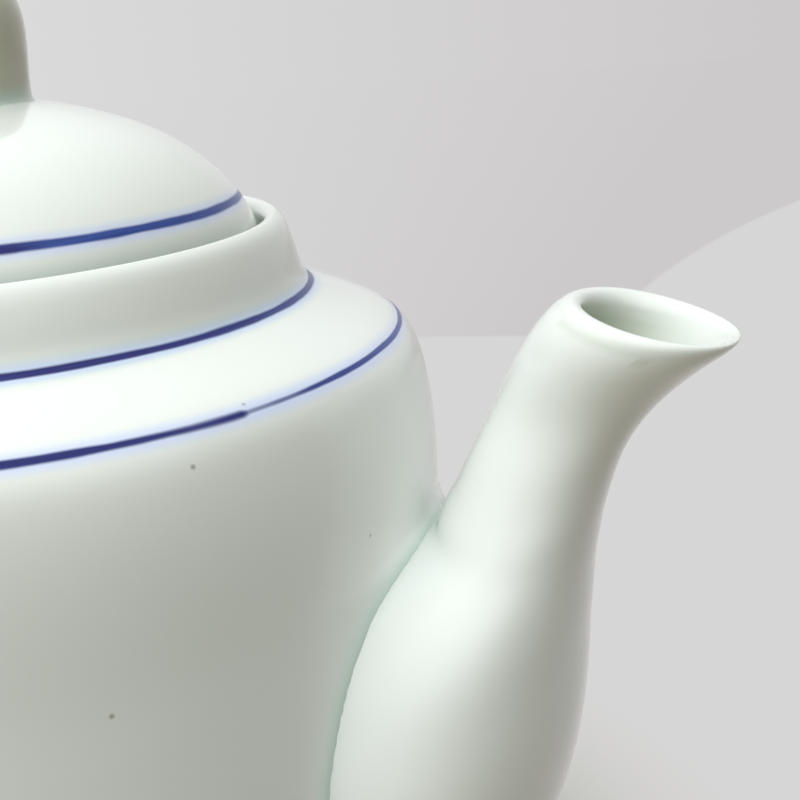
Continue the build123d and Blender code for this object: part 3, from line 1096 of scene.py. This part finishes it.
@dataclass
class Studio:
    """The plain floor, the soft lights and the camera."""

    lens: float = 58.5
    eye: Node = (124.81, -192.19, 168.20)
    right: Node = (0.96692, 0.24517, -0.07042)
    up: Node = (-0.00237, 0.28468, 0.95862)
    forward: Node = (-0.25507, 0.92674, -0.27585)
    paper: str = "#cfcac0"
    board: str = "#7c725a"
    near_grey: str = "#d7d6d6"
    air_left: str = "#dadada"
    air_right: str = "#cdcacb"
    air_turn: Point = (1.55, 2.1)
    floor_radius: float = 4000.0
    shadow_reach: Point = (66.0, 145.0)
    table_reach: float = 500.0
    edge_blur: Point = (6.0, 2.0)
    table_round: Node = (1767.0, 310.0, 1730.0)
    daylight: str = "#f4fbfa"
    even_light: float = 0.07
    lobes: tuple[Lobe, ...] = (((0.0, 0.0, 1.0), 6.0, 2.65), ((-0.38, -0.78, 0.5), 3.0, 1.95))
    gloss_lobes: tuple[Lobe, ...] = (
        ((0.0, 0.0, 1.0), 3.0, 1.7), ((0.54, -0.54, 0.64), 8.0, 1.3), ((0.1, 0.75, 0.65), 3.0, 0.4),
    )

    def air(self, tree: Tree, place: Any) -> bpy.types.NodeSocket:
        """Give the backdrop's grey, a little lighter on the left.

        Args:
            tree: The node tree.
            place: Position or direction that it is looked up at.

        Returns:
            The grey's socket.
        """
        axes = add(tree, "SeparateXYZ", (place,))
        turn = add(tree, "Math", (axes.outputs[1], axes.outputs[0]), operation="ARCTAN2")
        share = add(tree, "MapRange", (turn, *self.air_turn))
        return PorcelainGlaze.mix(tree, share, linear(self.air_right), linear(self.air_left))

    def build_floor(self) -> None:
        """Lay the plain floor: a dull board that the camera sees as pale paper."""
        material, tree = new_material("pale_paper")
        place = add(tree, "TexCoord").outputs["Object"]
        away = add(tree, "VectorMath", (place,), operation="LENGTH").outputs["Value"]
        back = add(tree, "SeparateXYZ", (place,)).outputs[1]
        edge = add(tree, "MapRange", (back, (self.table_reach - self.edge_blur[0]) * MM, self.table_reach * MM))
        middle_x, middle_y, reach = self.table_round
        middle = (middle_x * MM, middle_y * MM, 0.0)
        out = add(tree, "VectorMath", (place, middle), operation="DISTANCE").outputs["Value"]
        blur = self.edge_blur[1]
        arc = add(tree, "MapRange", (out, (reach - blur) * MM, (reach + blur) * MM))
        past = add(tree, "Math", (edge, arc), operation="MULTIPLY")
        grey = PorcelainGlaze.mix(tree, past, linear(self.near_grey), self.air(tree, place))
        # Near the pot the paper is shaded and keeps its shadow; further off the camera sees its own even grey
        near, beyond = self.shadow_reach
        far = add(tree, "MapRange", (away, near * MM, beyond * MM), interpolation_type="SMOOTHSTEP")
        rays = add(tree, "LightPath").outputs
        seen = add(tree, "Math", (rays["Is Camera Ray"], rays["Is Glossy Ray"]), operation="MAXIMUM")
        lit, board = (
            add(tree, "BsdfPrincipled", {"Base Color": linear(code), "Roughness": 0.9, "Specular IOR Level": 0.1})
            for code in (self.paper, self.board)
        )
        plain = add(tree, "Emission", (grey, 1.0))
        shown = add(tree, "MixShader", (far, lit, plain))
        mixed = add(tree, "MixShader", (seen, board, shown))
        add(tree, "OutputMaterial", (mixed,))
        shape = bmesh.new()
        bmesh.ops.create_circle(shape, cap_ends=True, segments=96, radius=self.floor_radius * MM)
        floor = place_mesh(shape, "studio_floor")
        floor.data.materials.append(material)

    def build_air(self) -> None:
        """Light the room from above and from the front left.

        Camera and mirror rays see the backdrop's own grey, and mirror rays see soft windows over it as well.
        """
        world = bpy.data.worlds.new("studio_air")
        bpy.context.scene.world = world
        world.use_nodes = True
        tree = world.node_tree
        tree.nodes.clear()
        rays = add(tree, "LightPath").outputs
        seen = add(tree, "Math", (rays["Is Camera Ray"], rays["Is Glossy Ray"]), operation="MAXIMUM")
        toward = add(tree, "TexCoord").outputs["Generated"]
        strengths = []
        for lobes, strength in ((self.lobes, self.even_light), (self.gloss_lobes, 0.0)):
            for way, power, light in lobes:
                facing = add(tree, "VectorMath", (toward, way), operation="DOT_PRODUCT").outputs["Value"]
                ahead = add(tree, "Math", (facing, 0.0), operation="MAXIMUM")
                lobe = add(tree, "Math", (ahead, power), operation="POWER")
                strength = add(tree, "Math", (lobe, light, strength), operation="MULTIPLY_ADD")
            strengths.append(strength)
        glow = add(tree, "Background", (linear(self.daylight), strengths[0]))
        backdrop = add(tree, "Background", (self.air(tree, toward), 1.0))
        mixed = add(tree, "MixShader", (seen, glow, backdrop))
        mirrored = add(tree, "Math", (strengths[1], rays["Is Glossy Ray"]), operation="MULTIPLY")
        shine = add(tree, "Background", (linear(self.daylight), mirrored))
        both = add(tree, "AddShader", (mixed, shine))
        add(tree, "OutputWorld", (both,))

    def build_camera(self) -> None:
        """Set the camera that was fitted to the photograph's frame of 800 by 800."""
        data = bpy.data.cameras.new("photo_camera")
        data.sensor_width = 36.0
        data.lens = self.lens
        data.clip_start = 0.01
        camera = bpy.data.objects.new("photo_camera", data)
        bpy.context.scene.collection.objects.link(camera)
        columns = Matrix((self.right, self.up, tuple(-value for value in self.forward))).transposed()
        camera.matrix_world = Matrix.Translation(Vector(self.eye) * MM) @ columns.to_4x4()
        bpy.context.scene.camera = camera

    def build(self) -> None:
        """Set the whole studio."""
        self.build_floor()
        self.build_air()
        self.build_camera()
        bpy.context.scene.view_settings.view_transform = "Standard"


def main() -> None:
    """Build the teapot and the studio in order."""
    logging.basicConfig(level=logging.INFO, format="%(name)s: %(message)s")
    Studio().build()
    shoulder_line = BrushLine(
        radius=70.35, height=120.35, width=1.35, thin_width=0.95, overlap=-0.54, fade=0.5, pale=0.7,
        sag=0.75, sag_turn=-0.55,
    )
    neck_line = BrushLine(
        radius=55.6, height=127.7, width=1.35, thin_width=1.3, overlap=-0.75, fade=0.9, pale=0.45,
        sag=0.4, sag_turn=-0.35,
    )
    lid_line = BrushLine(
        radius=45.1, height=142.8, width=1.45, thin_width=1.4, overlap=-0.87, fade=0.1, pale=0.85,
        sag=0.0, sag_turn=0.0,
    )
    specks = ((46.8, -58.6, 86.1), (69.2, -26.6, 109.4), (56.6, -46.5, 115.8))
    collar_corner, knob_corner, lid_rim_shade = (55.6, 127.6, 3.0), (12.6, 161.4, 2.6), (47.8, 137.0, 6.2)
    pot_glaze = PorcelainGlaze("pot_glaze", (shoulder_line, neck_line), (collar_corner,), speck_spots=specks).build()
    plain_glaze = PorcelainGlaze("plain_glaze").build()
    # The lid's dark grey-green tint is painted shade: a broad ring under the lid line, where the collar's crest
    # shades the rim band, and a ring round the knob's foot
    lid_glaze = PorcelainGlaze("lid_glaze", (lid_line,), (knob_corner, lid_rim_shade), pooled_and_shaded="#8e9d91").build()
    # The spout's dark olive tint is glaze pooling at the joint and painted shade deep in the bore
    spout_glaze = PorcelainGlaze("spout_glaze", pooled_and_shaded="#9aa982").build()
    # The knob's olive-grey white is painted shade: a darker copy of the glaze for a knob that sits in shade
    knob_shaded_glaze = PorcelainGlaze("knob_shaded_glaze", pool_and_shade_rings=(knob_corner,), white="#c4c4b2", warm="#bfbda8").build()
    clay = BareClay().build()
    barrel, spout, handle, lid = Barrel(), Spout(), Handle(), Lid()
    barrel.build(pot_glaze, (spout, handle))
    FootRing().build(clay)
    Collar().build(pot_glaze)
    spout.build(spout_glaze, barrel)
    handle.build(plain_glaze, barrel)
    lid.build_dome(lid_glaze)
    lid.build_skirt(plain_glaze)
    lid.build_knob(knob_shaded_glaze)


if __name__ == "__main__":
    main()
